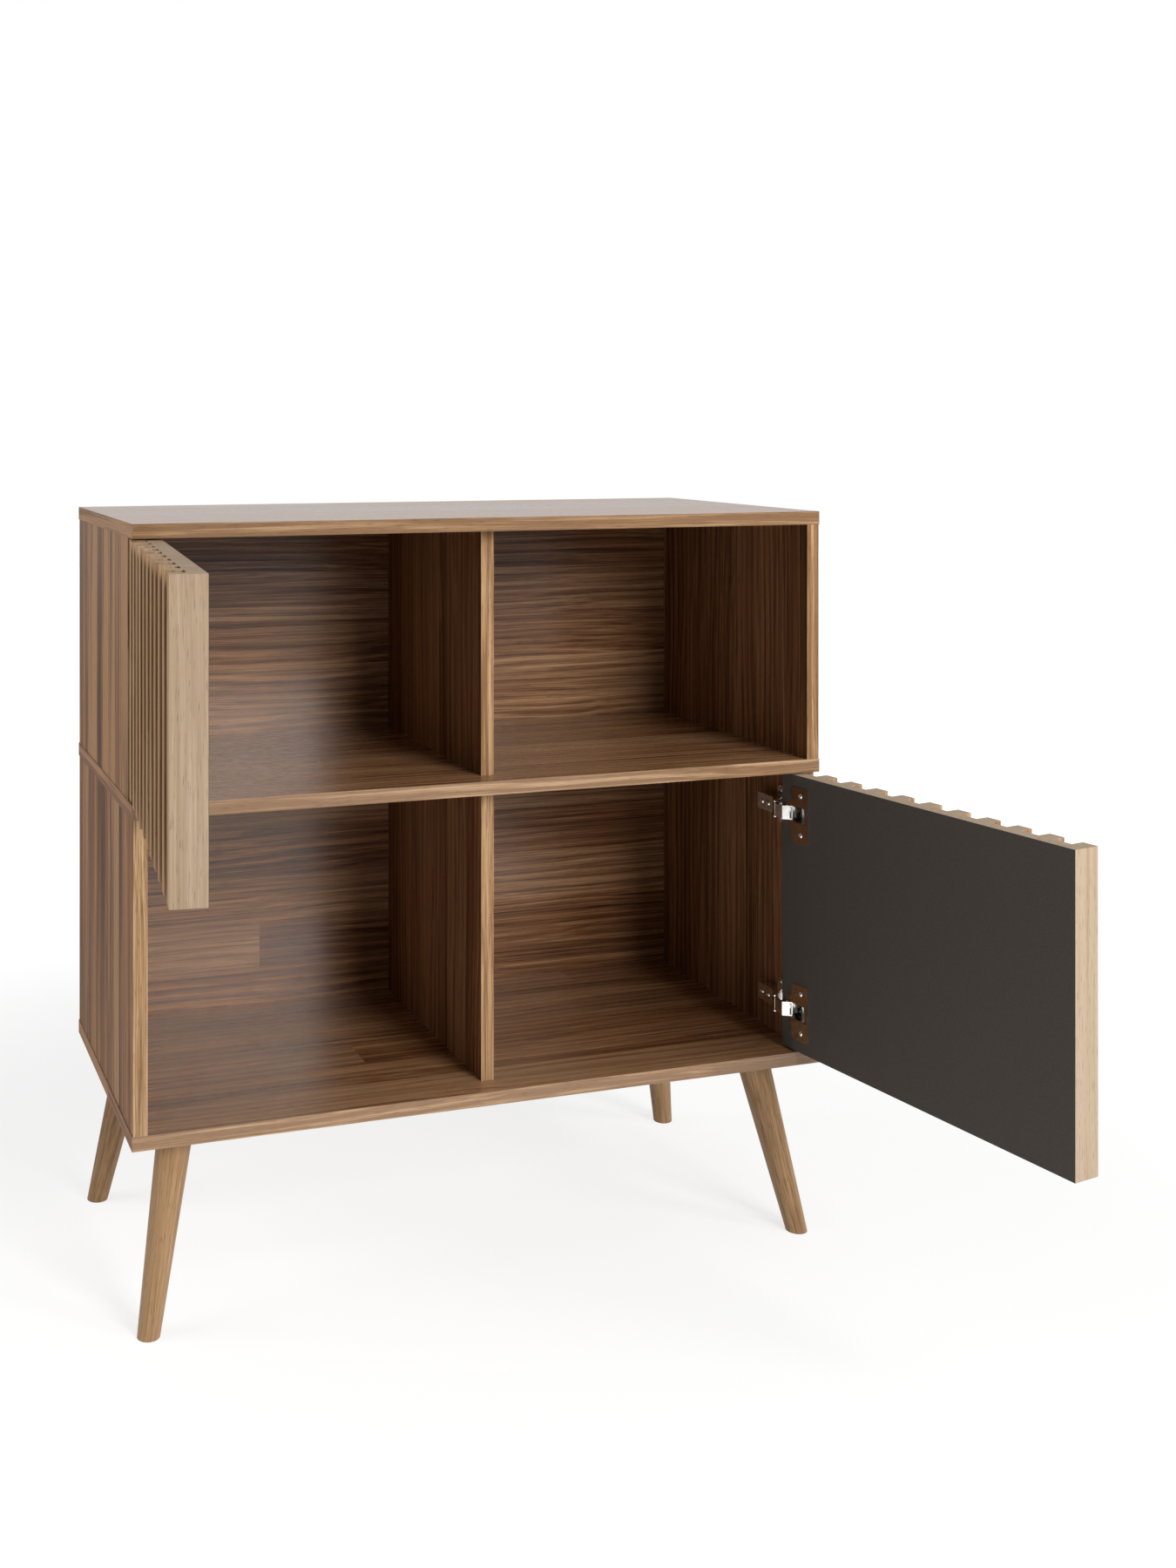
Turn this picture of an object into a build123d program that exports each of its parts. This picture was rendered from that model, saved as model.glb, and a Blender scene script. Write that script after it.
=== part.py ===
"""Cube storage unit: a board carcass on splayed legs, with two ribbed doors on cup hinges."""
import os
from math import atan2, degrees

from build123d import *

os.makedirs("parts", exist_ok=True)

# Carcass, in millimetres
WIDTH = 800.0
DEPTH = 350.0
BOARD = 15.0
UPPER_CELL = 270.0
LOWER_CELL = 320.0
SIDE_INSET = 1.0
BACK_BOARD = 4.0
BACK_RECESS = 8.0
GROOVE_DEPTH = 5.0
GROOVE_PLAY = 0.2
DOWEL_RADIUS = 4.0
DOWEL_LENGTH = 30.0
DOWEL_SEAT = 9.0
DOWEL_EDGE = 50.0
DOWEL_STAGGER = 40.0
DOWEL_PLAY = 0.1

# Legs
LEG_HEIGHT = 197.0
LEG_TOP_RADIUS = 19.2
LEG_FOOT_RADIUS = 11.9
LEG_TOP_INSET_X = 57.0
LEG_TOP_INSET_Y = 55.0
LEG_FOOT_INSET_X = 20.0
LEG_FOOT_INSET_Y = 16.0
BOLT_RADIUS = 4.0
BOLT_IN_LEG = 30.0
BOLT_PLAY = 0.05
INSERT_RADIUS = 6.0
INSERT_DEPTH = 12.0

# Doors
DOOR_BASE = 16.0
BATTEN_DEPTH = 16.0
BATTEN_WIDTH = 16.7
BATTEN_COUNT = 11
DOOR_STANDOFF = 1.5
DOOR_PROUD = 3.5
DOOR_GAP = 2.0
DOOR_REVEAL = 1.0
DOOR_MEET = 1.0
UPPER_DOOR_OPEN = 96.0
LOWER_DOOR_OPEN = 100.0

# Cup hinges: p runs from the side board into the cell, q runs forward of its front edge
HINGE_END = 45.0
LINK_PIVOT_P = 22.0
LINK_PIVOT_Q = -2.2
CUP_PIVOT_P = -1.5
CUP_PIVOT_DEPTH = 3.2
LINK_TURN = -0.553
PIN_RADIUS = 1.1
PIN_PLAY = 0.05
LINK_HALF_HEIGHT = 7.8
LINK_HALF_WIDTH = 1.8
LINK_PLATE = 1.2
LINK_KNEE_ALONG = 7.5
LINK_KNEE_OFFSET = 7.0
LINK_WAIST = 1.2
LINK_WAIST_RADIUS = 9.0
CUP_CENTRE_P = 6.5
CUP_RADIUS = 17.5
CUP_DEPTH = 12.0
CUP_WALL = 1.2
CUP_FLOOR = 1.0
CUP_PLAY = 0.15
POCKET_HALF_HEIGHT = 8.6
FLANGE_THICK = 1.0
FLANGE_HALF_HEIGHT = 32.0
FLANGE_NEAR = 4.5
FLANGE_FAR = 22.0
FLANGE_CORNER = 5.0
CUP_SCREW_HALF_SPACING = 22.5
CUP_SCREW_OFFSET = 9.5
ARM_BACK = 50.0
ARM_TOP = 15.0
ARM_PLATE = 1.5
ARM_CHEEK = 1.4
ARM_SIDE_PLAY = 0.2
ARM_WEB_FRONT = 18.0
ARM_NOSE_RADIUS = 2.4
PLATE_THICK = 2.2
PLATE_FRONT = 12.0
PLATE_HALF_HEIGHT = 8.0
RAIL_PLAY = 0.3
RAIL_FRONT = 20.0
WING_Q = 22.0
WING_HALF_HEIGHT = 22.0
WING_WIDTH = 11.0
PLATE_SCREW_HALF_SPACING = 16.0
CLAMP_SCREW_Q = 41.0
ADJUST_SCREW_Q = 28.0
SCREW_RADIUS = 1.6
SCREW_HEAD_RADIUS = 3.2
SCREW_HEAD = 1.4
SCREW_IN_BOARD = 11.0
SCREW_PLAY = 0.05

# Levels and planes that follow from them
UNDERSIDE = LEG_HEIGHT
LOWER_FLOOR = UNDERSIDE + BOARD
LOWER_ROOF = LOWER_FLOOR + LOWER_CELL
UPPER_FLOOR = LOWER_ROOF + BOARD
UPPER_ROOF = UPPER_FLOOR + UPPER_CELL
TOP = UPPER_ROOF + BOARD
SIDE_FACE = WIDTH / 2 - SIDE_INSET - BOARD
SETBACK = DOOR_BASE + BATTEN_DEPTH + DOOR_STANDOFF - DOOR_PROUD
BACK_FACE = DEPTH - BACK_RECESS - BACK_BOARD
DOOR_EDGE_P = DOOR_REVEAL - BOARD
DOOR_WIDTH = SIDE_FACE - DOOR_MEET - DOOR_EDGE_P
BATTEN_PITCH = (DOOR_WIDTH - BATTEN_WIDTH) / (BATTEN_COUNT - 1)
LINK_PIVOT = Vector(LINK_PIVOT_P, LINK_PIVOT_Q)
CUP_PIVOT = Vector(CUP_PIVOT_P, DOOR_STANDOFF + CUP_PIVOT_DEPTH)
CHEEK_INNER = LINK_HALF_HEIGHT + ARM_SIDE_PLAY
CHEEK_OUTER = CHEEK_INNER + ARM_CHEEK


def slab(x, y, z):
    """A box between pairs of limits."""
    size = [high - low for low, high in (x, y, z)]
    centre = [(low + high) / 2 for low, high in (x, y, z)]
    return Pos(*centre) * Box(*size)


def rod(at, radius, low, high):
    """A round bar along Z between two heights."""
    return Pos(at.X, at.Y, (low + high) / 2) * Cylinder(radius, high - low)


def bar_along_q(p, z, radius, low, high):
    """A round bar along q between two depths."""
    return Pos(p, (low + high) / 2, z) * Rot(90, 0, 0) * Cylinder(radius, high - low)


def bar_along_p(q, z, radius, low, high):
    """A round bar along p between two distances from the side board."""
    return Pos((low + high) / 2, q, z) * Rot(0, 90, 0) * Cylinder(radius, high - low)


def both(limit):
    """Limits that lie evenly about zero."""
    return (-limit, limit)


def strip(start, end, low, high):
    """The outline between two offsets to the left of a line."""
    along = (end - start).normalized()
    left = Vector(-along.Y, along.X)
    corners = [start + left * low, end + left * low, end + left * high, start + left * high]
    return Polygon(*[(corner.X, corner.Y) for corner in corners], align=None)


def turn_about(pivot, angle):
    """A turn about an upright line."""
    return Pos(pivot.X, pivot.Y, 0) * Rot(0, 0, angle) * Pos(-pivot.X, -pivot.Y, 0)


def link_pose(opening):
    """Where the link lies when the door has opened by an angle."""
    return turn_about(LINK_PIVOT, LINK_TURN * opening)


def door_pose(opening):
    """Where the door lies when it has opened by an angle."""
    return link_pose(opening) * turn_about(CUP_PIVOT, (1 - LINK_TURN) * opening)


def fixed_pose(opening):
    """What is screwed to the side board stays."""
    return Pos(0, 0, 0)


# Dowels: where each upright stands on a level board
def dowel_rows(front, stagger):
    """The two depths of the dowels in an upright's end."""
    near = front + DOWEL_EDGE + stagger
    far = BACK_FACE - DOWEL_EDGE - stagger
    return near, far


def upright_dowels(x, front, low, high, stagger):
    """The dowels at both ends of an upright, or their bores."""
    spots = [(x, y) for y in dowel_rows(front, stagger)]
    inside = DOWEL_LENGTH - DOWEL_SEAT
    ends = [(low - DOWEL_SEAT, low + inside), (high - inside, high + DOWEL_SEAT)]
    return [(Vector(*spot), end) for spot in spots for end in ends]


def dowel_bores(dowels):
    """Bores that take the dowels with their play."""
    bores = [rod(at, DOWEL_RADIUS + DOWEL_PLAY, low - DOWEL_PLAY, high + DOWEL_PLAY)
             for at, (low, high) in dowels]
    return Part() + bores


SIDE_CENTRE = SIDE_FACE + BOARD / 2
UPPER = (UPPER_FLOOR, UPPER_ROOF)
LOWER = (LOWER_FLOOR, LOWER_ROOF)
UPRIGHTS = {
    "upper_left_side": (-SIDE_CENTRE, SETBACK, DEPTH, UPPER, 0.0),
    "upper_divider": (0.0, SETBACK, BACK_FACE, UPPER, 0.0),
    "upper_right_side": (SIDE_CENTRE, 0.0, DEPTH, UPPER, 0.0),
    "lower_left_side": (-SIDE_CENTRE, 0.0, DEPTH, LOWER, DOWEL_STAGGER),
    "lower_divider": (0.0, SETBACK, BACK_FACE, LOWER, DOWEL_STAGGER),
    "lower_right_side": (SIDE_CENTRE, SETBACK, DEPTH, LOWER, DOWEL_STAGGER),
}
DOWELS = {name: upright_dowels(x, front, *span, stagger)
          for name, (x, front, back, span, stagger) in UPRIGHTS.items()}
ALL_DOWELS = [dowel for dowels in DOWELS.values() for dowel in dowels]


def back_groove(span):
    """The groove that runs round a back panel."""
    reach = SIDE_FACE + GROOVE_DEPTH
    y = (BACK_FACE - GROOVE_PLAY, BACK_FACE + BACK_BOARD + GROOVE_PLAY)
    return slab(both(reach), y, (span[0] - GROOVE_DEPTH, span[1] + GROOVE_DEPTH))


def back_panel(span):
    """A thin back panel that sits in its groove on all four sides."""
    tongue = GROOVE_DEPTH - GROOVE_PLAY
    y = (BACK_FACE, BACK_FACE + BACK_BOARD)
    return slab(both(SIDE_FACE + tongue), y, (span[0] - tongue, span[1] + tongue))


def leg_points(x_sign, rear):
    """The centres of a leg's top and foot."""
    points = []
    for inset_x, inset_y, z in ((LEG_TOP_INSET_X, LEG_TOP_INSET_Y, UNDERSIDE),
                                (LEG_FOOT_INSET_X, LEG_FOOT_INSET_Y, 0.0)):
        y = DEPTH - inset_y if rear else inset_y
        points.append(Vector(x_sign * (WIDTH / 2 - inset_x), y, z))
    return points


LEGS = {
    "leg_front_left": leg_points(-1, False),
    "leg_front_right": leg_points(1, False),
    "leg_back_left": leg_points(-1, True),
    "leg_back_right": leg_points(1, True),
}


def level_board(low):
    """One of the three level boards, with its dowel bores and back grooves."""
    board = slab(both(WIDTH / 2), (0.0, DEPTH), (low, low + BOARD))
    return board - dowel_bores(ALL_DOWELS) - back_groove(UPPER) - back_groove(LOWER)


def bottom_board():
    """The bottom board also takes the legs' insert nuts."""
    seats = [rod(top, INSERT_RADIUS + BOLT_PLAY, UNDERSIDE, UNDERSIDE + INSERT_DEPTH)
             for top, foot in LEGS.values()]
    return level_board(UNDERSIDE) - seats


def leg(top, foot):
    """A tapered round leg, cut level at the board and at the floor."""
    axis = top - foot
    taper = (LEG_TOP_RADIUS - LEG_FOOT_RADIUS) / axis.length
    spare = LEG_TOP_RADIUS
    start = foot - axis.normalized() * spare
    plane = Plane(origin=start, z_dir=axis.normalized())
    length = axis.length + 2 * spare
    cone = Solid.make_cone(LEG_FOOT_RADIUS - taper * spare, LEG_TOP_RADIUS + taper * spare,
                           length, plane)
    level = slab(both(WIDTH), (-DEPTH, 2 * DEPTH), (0.0, UNDERSIDE))
    bore = rod(top, BOLT_RADIUS + BOLT_PLAY, UNDERSIDE - BOLT_IN_LEG - BOLT_PLAY, UNDERSIDE)
    return (Part() + cone) & level - bore


def leg_bolts():
    """A hanger bolt stands upright in each leg."""
    return [rod(top, BOLT_RADIUS, UNDERSIDE - BOLT_IN_LEG, UNDERSIDE + INSERT_DEPTH)
            for top, foot in LEGS.values()]


def insert_nuts():
    """A flush nut for each leg bolt."""
    low, high = UNDERSIDE, UNDERSIDE + INSERT_DEPTH
    return [rod(top, INSERT_RADIUS, low, high) - rod(top, BOLT_RADIUS + BOLT_PLAY, low, high)
            for top, foot in LEGS.values()]


# Hinge pieces, with the door closed and the hinge's middle at height zero
DOOR_FACE = DOOR_STANDOFF
DOOR_BACK = DOOR_FACE + DOOR_BASE
FACE_PLANE = Plane(origin=(CUP_CENTRE_P, DOOR_FACE, 0), x_dir=(1, 0, 0), z_dir=(0, 1, 0))
CUP_SCREW_P = CUP_CENTRE_P + CUP_SCREW_OFFSET
BAR_TO_KNEE = (LINK_PIVOT - CUP_PIVOT).normalized()
KNEE_SIDE = Vector(-BAR_TO_KNEE.Y, BAR_TO_KNEE.X)
KNEE = CUP_PIVOT + BAR_TO_KNEE * LINK_KNEE_ALONG + KNEE_SIDE * LINK_KNEE_OFFSET


def heading(start, end):
    """The direction from one point to another, in degrees."""
    along = end - start
    return degrees(atan2(along.Y, along.X))


def bar_outline(start, end, half_width):
    """A bar with round ends between two pivots."""
    middle = (start + end) / 2
    slot = SlotCenterToCenter((end - start).length, 2 * half_width, heading(start, end))
    return Pos(middle.X, middle.Y) * slot


def upright(outline, low, high):
    """An outline in p and q, drawn up between two heights."""
    return extrude(Pos(0, 0, low) * outline, high - low)


def hinge_link():
    """The cranked link: two ears on the pins, joined by a waisted plate on the open side."""
    ears = bar_outline(LINK_PIVOT, KNEE, LINK_HALF_WIDTH) + bar_outline(KNEE, CUP_PIVOT, LINK_HALF_WIDTH)
    inner = LINK_HALF_WIDTH - LINK_PLATE
    clear = PIN_RADIUS + LINK_HALF_WIDTH
    head = LINK_PIVOT + (KNEE - LINK_PIVOT).normalized() * clear
    tail = CUP_PIVOT + (KNEE - CUP_PIVOT).normalized() * clear
    plate = strip(KNEE, head, inner, LINK_HALF_WIDTH) + strip(tail, KNEE, inner, LINK_HALF_WIDTH)
    plate += Pos(KNEE.X, KNEE.Y) * Circle(LINK_HALF_WIDTH)
    body = upright(plate, *both(LINK_HALF_HEIGHT))
    low = LINK_HALF_HEIGHT - LINK_PLATE
    body += [upright(ears, low, LINK_HALF_HEIGHT), upright(ears, -LINK_HALF_HEIGHT, -low)]
    for pivot in (LINK_PIVOT, CUP_PIVOT):
        body -= rod(pivot, PIN_RADIUS + PIN_PLAY, *both(LINK_HALF_HEIGHT))
    middle = (KNEE + LINK_PIVOT) / 2
    across = heading(LINK_PIVOT, KNEE)
    waist = LINK_HALF_HEIGHT - LINK_WAIST + LINK_WAIST_RADIUS
    cutter = Rot(0, 0, across) * Rot(90, 0, 0) * Cylinder(LINK_WAIST_RADIUS, 4 * LINK_HALF_WIDTH)
    return body - [Pos(middle.X, middle.Y, waist) * cutter, Pos(middle.X, middle.Y, -waist) * cutter]


def cup_screw_spots():
    """Heights of the two screws of a cup."""
    return both(CUP_SCREW_HALF_SPACING)


def hinge_cup():
    """The cup in the door, with its flange, its pocket and the bores for its pins and screws."""
    pocket = Circle(CUP_RADIUS - CUP_WALL) & Rectangle(2 * CUP_RADIUS, 2 * POCKET_HALF_HEIGHT)
    rim = Pos((FLANGE_FAR - FLANGE_NEAR) / 2, 0) * RectangleRounded(
        FLANGE_NEAR + FLANGE_FAR, 2 * FLANGE_HALF_HEIGHT, FLANGE_CORNER)
    reach = LINK_PIVOT_P + LINK_HALF_WIDTH + ARM_NOSE_RADIUS - CUP_CENTRE_P
    mouth = Rectangle(2 * reach, 2 * (CHEEK_OUTER + CUP_PLAY))
    body = extrude(FACE_PLANE * Circle(CUP_RADIUS), CUP_DEPTH)
    body += extrude(FACE_PLANE * (rim - mouth), -FLANGE_THICK)
    body -= extrude(FACE_PLANE * pocket, CUP_DEPTH - CUP_FLOOR)
    body -= rod(CUP_PIVOT, PIN_RADIUS + PIN_PLAY, *both(cup_pin_reach()))
    for z in cup_screw_spots():
        body -= bar_along_q(CUP_SCREW_P, z, SCREW_RADIUS + SCREW_PLAY, DOOR_FACE - FLANGE_THICK, DOOR_FACE)
    return body


def cup_pin_reach():
    """How far the cup's pin reaches up and down into the cup's walls."""
    return POCKET_HALF_HEIGHT + 2 * PIN_RADIUS


def cup_screw(z):
    """A pan-head screw through the flange into the door."""
    seat = DOOR_FACE - FLANGE_THICK
    head = bar_along_q(CUP_SCREW_P, z, SCREW_HEAD_RADIUS, seat - SCREW_HEAD, seat)
    return head + bar_along_q(CUP_SCREW_P, z, SCREW_RADIUS, seat, DOOR_FACE + SCREW_IN_BOARD)


def arm_nose_outline():
    """The side view of the arm: a channel that narrows to an eye round the link's pin."""
    eye = Pos(LINK_PIVOT.X, LINK_PIVOT.Y) * Circle(ARM_NOSE_RADIUS)
    channel = Polygon((PLATE_THICK, -ARM_BACK), (ARM_TOP, -ARM_BACK), (ARM_TOP, -ARM_WEB_FRONT),
                      (PLATE_THICK, -ARM_WEB_FRONT), align=None)
    along = (LINK_PIVOT - Vector(ARM_TOP, -ARM_WEB_FRONT)).normalized()
    left = Vector(-along.Y, along.X) * ARM_NOSE_RADIUS
    high, low = LINK_PIVOT - left, LINK_PIVOT + left
    neck = Polygon((ARM_TOP, -ARM_WEB_FRONT), (high.X, high.Y), (low.X, low.Y),
                   (PLATE_THICK, -ARM_WEB_FRONT), align=None)
    return eye + channel + neck


def hinge_arm():
    """The arm: two cheeks and a top plate over the rail of the mounting plate."""
    cheek = arm_nose_outline()
    body = upright(cheek, CHEEK_INNER, CHEEK_OUTER) + upright(cheek, -CHEEK_OUTER, -CHEEK_INNER)
    body += slab((ARM_TOP - ARM_PLATE, ARM_TOP), (-ARM_BACK, -ARM_WEB_FRONT), both(CHEEK_OUTER))
    body -= rod(LINK_PIVOT, PIN_RADIUS + PIN_PLAY, *both(CHEEK_OUTER))
    for q in (CLAMP_SCREW_Q, ADJUST_SCREW_Q):
        body -= bar_along_p(-q, 0, SCREW_RADIUS + SCREW_PLAY, ARM_TOP - ARM_PLATE, ARM_TOP)
    return body


def mounting_plate():
    """The plate on the side board: a base with two wings and the rail that carries the arm."""
    base = slab((0.0, PLATE_THICK), (-ARM_BACK, -PLATE_FRONT), both(PLATE_HALF_HEIGHT))
    wing = Plane.YZ * Pos(-WING_Q, 0) * SlotOverall(2 * WING_HALF_HEIGHT, WING_WIDTH, 90)
    rail_top = ARM_TOP - ARM_PLATE
    rail = slab((PLATE_THICK, rail_top), (-ARM_BACK, -RAIL_FRONT), both(CHEEK_INNER - RAIL_PLAY))
    body = base + extrude(wing, PLATE_THICK) + rail
    for q in (CLAMP_SCREW_Q, ADJUST_SCREW_Q):
        body -= bar_along_p(-q, 0, SCREW_RADIUS + SCREW_PLAY, PLATE_THICK, rail_top)
    for z in both(PLATE_SCREW_HALF_SPACING):
        body -= bar_along_p(-WING_Q, z, SCREW_RADIUS + SCREW_PLAY, 0.0, PLATE_THICK)
    return body


def arm_screw(q):
    """A screw through the arm into the rail."""
    head = bar_along_p(-q, 0, SCREW_HEAD_RADIUS, ARM_TOP, ARM_TOP + SCREW_HEAD)
    return head + bar_along_p(-q, 0, SCREW_RADIUS, PLATE_THICK, ARM_TOP)


def plate_screw(z):
    """A screw through a wing into the side board."""
    head = bar_along_p(-WING_Q, z, SCREW_HEAD_RADIUS, PLATE_THICK, PLATE_THICK + SCREW_HEAD)
    return head + bar_along_p(-WING_Q, z, SCREW_RADIUS, -SCREW_IN_BOARD, PLATE_THICK)


def plate_screw_bore(z):
    """The pilot bore of a wing's screw in the side board."""
    return bar_along_p(-WING_Q, z, SCREW_RADIUS + SCREW_PLAY, -SCREW_IN_BOARD - SCREW_PLAY, 0.0)


def door_panel(height, hinge_heights):
    """The door's base panel with a bore for each cup and its screws."""
    body = slab((DOOR_EDGE_P, DOOR_EDGE_P + DOOR_WIDTH), (DOOR_FACE, DOOR_BACK), both(height / 2))
    for z in hinge_heights:
        body -= bar_along_q(CUP_CENTRE_P, z, CUP_RADIUS + CUP_PLAY, DOOR_FACE, DOOR_FACE + CUP_DEPTH + CUP_PLAY)
        for spot in cup_screw_spots():
            body -= bar_along_q(CUP_SCREW_P, z + spot, SCREW_RADIUS + SCREW_PLAY, DOOR_FACE,
                                DOOR_FACE + SCREW_IN_BOARD + SCREW_PLAY)
    return body


def door_battens(height):
    """Upright battens, evenly spaced and flush with both edges of the door."""
    starts = [DOOR_EDGE_P + BATTEN_PITCH * place for place in range(BATTEN_COUNT)]
    return [slab((start, start + BATTEN_WIDTH), (DOOR_BACK, DOOR_BACK + BATTEN_DEPTH), both(height / 2))
            for start in starts]


# Doors: which side each hangs on, its cell and how far it stands open
DOORS = {
    "upper_door": ("left", UPPER, UPPER_DOOR_OPEN),
    "lower_door": ("right", LOWER, LOWER_DOOR_OPEN),
}


def to_cabinet(shape, hand, height):
    """From a hinge's own axes to the cabinet's."""
    if hand == "right":
        return Pos(SIDE_FACE, SETBACK, height) * Rot(0, 0, 180) * shape
    return Pos(-SIDE_FACE, SETBACK, height) * mirror(shape, about=Plane.XZ)


def door_levels(span):
    """A door's height, its middle and the heights of its hinges about that."""
    height = span[1] - span[0] - 2 * DOOR_GAP
    reach = height / 2 - HINGE_END
    return height, (span[0] + span[1]) / 2, {"top": reach, "bottom": -reach}


def door_nodes(name, hand, span, opening):
    """Every piece of one door and its two hinges."""
    height, middle, hinges = door_levels(span)

    def put(shape, pose, z=0.0):
        return to_cabinet(pose(opening) * shape, hand, middle + z)

    nodes = {
        f"{name}_panel": [put(door_panel(height, hinges.values()), door_pose)],
        f"{name}_battens": [put(batten, door_pose) for batten in door_battens(height)],
    }
    screws = {"cup_screws": [], "cup_pins": [], "arm_pins": [], "arm_screws": [], "plate_screws": []}
    for place, z in hinges.items():
        hinge = f"{name}_{place}_hinge"
        nodes[f"{hinge}_plate"] = [put(mounting_plate(), fixed_pose, z)]
        nodes[f"{hinge}_arm"] = [put(hinge_arm(), fixed_pose, z)]
        nodes[f"{hinge}_link"] = [put(hinge_link(), link_pose, z)]
        nodes[f"{hinge}_cup"] = [put(hinge_cup(), door_pose, z)]
        pin = rod(CUP_PIVOT, PIN_RADIUS, *both(cup_pin_reach()))
        screws["cup_pins"].append(put(pin, door_pose, z))
        screws["arm_pins"].append(put(rod(LINK_PIVOT, PIN_RADIUS, *both(CHEEK_OUTER)), fixed_pose, z))
        screws["cup_screws"] += [put(cup_screw(spot), door_pose, z) for spot in cup_screw_spots()]
        screws["arm_screws"] += [put(arm_screw(q), fixed_pose, z) for q in (CLAMP_SCREW_Q, ADJUST_SCREW_Q)]
        screws["plate_screws"] += [put(plate_screw(spot), fixed_pose, z)
                                   for spot in both(PLATE_SCREW_HALF_SPACING)]
    nodes.update({f"{name}_{kind}": pieces for kind, pieces in screws.items()})
    return nodes


def upright_board(name):
    """A side or a divider, with its dowel bores, back groove and pilot bores."""
    x, front, back, span, stagger = UPRIGHTS[name]
    board = slab((x - BOARD / 2, x + BOARD / 2), (front, back), span)
    board -= dowel_bores(DOWELS[name])
    board -= back_groove(span)
    for door, (hand, door_span, opening) in DOORS.items():
        height, middle, hinges = door_levels(door_span)
        for z in hinges.values():
            for spot in both(PLATE_SCREW_HALF_SPACING):
                board -= to_cabinet(plate_screw_bore(spot), hand, middle + z)
    return board


def carcass_nodes():
    """The boards, backs, dowels and legs."""
    nodes = {
        "top_panel": [level_board(UPPER_ROOF)],
        "middle_shelf": [level_board(LOWER_ROOF)],
        "bottom_panel": [bottom_board()],
        "upper_back_panel": [back_panel(UPPER)],
        "lower_back_panel": [back_panel(LOWER)],
        "leg_bolts": leg_bolts(),
        "leg_insert_nuts": insert_nuts(),
    }
    nodes.update({name: [upright_board(name)] for name in UPRIGHTS})
    nodes.update({name: [leg(*points)] for name, points in LEGS.items()})
    for row in ("upper", "lower"):
        dowels = [dowel for name, found in DOWELS.items() if name.startswith(row) for dowel in found]
        nodes[f"{row}_dowels"] = [rod(at, DOWEL_RADIUS, *ends) for at, ends in dowels]
    return nodes


def all_nodes():
    """Every node of the unit in the cabinet's axes."""
    nodes = carcass_nodes()
    for name, (hand, span, opening) in DOORS.items():
        nodes.update(door_nodes(name, hand, span, opening))
    return nodes


def frame_shift(nodes):
    """The step that puts the origin on the floor under the middle of the whole footprint."""
    solids = [solid for pieces in nodes.values() for piece in pieces for solid in piece.solids()]
    box = Compound(solids).bounding_box()
    return Vector(-box.center().X, -box.center().Y, 0)


NODES = all_nodes()
SHIFT = frame_shift(NODES)
for node, pieces in NODES.items():
    solids = [Pos(SHIFT) * solid for piece in pieces for solid in piece.solids()]
    export_step(Compound(solids, label=node), f"parts/{node}.step")
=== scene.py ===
"""Looks for a cube storage unit: walnut boards, ribbed doors, plated cup hinges and a plain studio."""
from math import cos, pi, radians, sin
from typing import NamedTuple

import bpy
from bpy.props import FloatProperty, FloatVectorProperty, PointerProperty
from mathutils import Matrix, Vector


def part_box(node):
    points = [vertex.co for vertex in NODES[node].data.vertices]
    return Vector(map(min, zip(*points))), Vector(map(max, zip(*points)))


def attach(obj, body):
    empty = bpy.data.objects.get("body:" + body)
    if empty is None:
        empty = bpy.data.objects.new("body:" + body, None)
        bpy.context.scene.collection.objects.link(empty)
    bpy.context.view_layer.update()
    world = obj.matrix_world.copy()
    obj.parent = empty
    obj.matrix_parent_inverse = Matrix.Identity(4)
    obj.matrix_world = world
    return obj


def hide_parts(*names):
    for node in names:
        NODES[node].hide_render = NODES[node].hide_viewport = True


bl_info = {
    "name": "Cube storage unit",
    "version": (1, 0, 0),
    "blender": (4, 5, 0),
    "location": "View3D > Sidebar > Storage unit",
    "description": "Finishes and stage for a cube storage unit with ribbed doors",
    "category": "Object",
}

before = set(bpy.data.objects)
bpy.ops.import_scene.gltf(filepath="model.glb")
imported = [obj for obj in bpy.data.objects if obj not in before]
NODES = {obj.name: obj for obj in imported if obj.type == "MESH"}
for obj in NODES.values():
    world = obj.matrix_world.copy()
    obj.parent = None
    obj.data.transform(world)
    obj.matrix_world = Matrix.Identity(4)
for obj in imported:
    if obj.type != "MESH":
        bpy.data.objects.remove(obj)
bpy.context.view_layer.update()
UP = Vector((0, 0, 1))
RIGHT = Vector((1, 0, 0))
BACK = Vector((0, 1, 0))
WHITE = (1.0, 1.0, 1.0, 1.0)


class WoodLook(NamedTuple):
    """A plain wood: how rough and glossy it is, and how strong the flames of its rings are."""

    roughness: float
    gloss: float
    flame: float


class BoardLook(NamedTuple):
    """A board: its polish, how light its face is and how far its front edge drops, both set per board with
    painted light and shade in them, and the strength of each layer of its figure.
    """

    roughness: float
    gloss: float
    lift: float
    bands: float = 0.8
    patch: float = 0.24
    contrast: float = 1.0
    rim_drop: float = 0.58
    flame: float = 0.16


class Lamp(NamedTuple):
    """A soft square light: where it stands, what it faces and how wide it is, in metres."""

    place: tuple
    target: tuple
    size: float


# Painted light and shade: one wood is lifted more on the level boards, which take the light from above,
# than on the backs in the cells' shade
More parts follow.
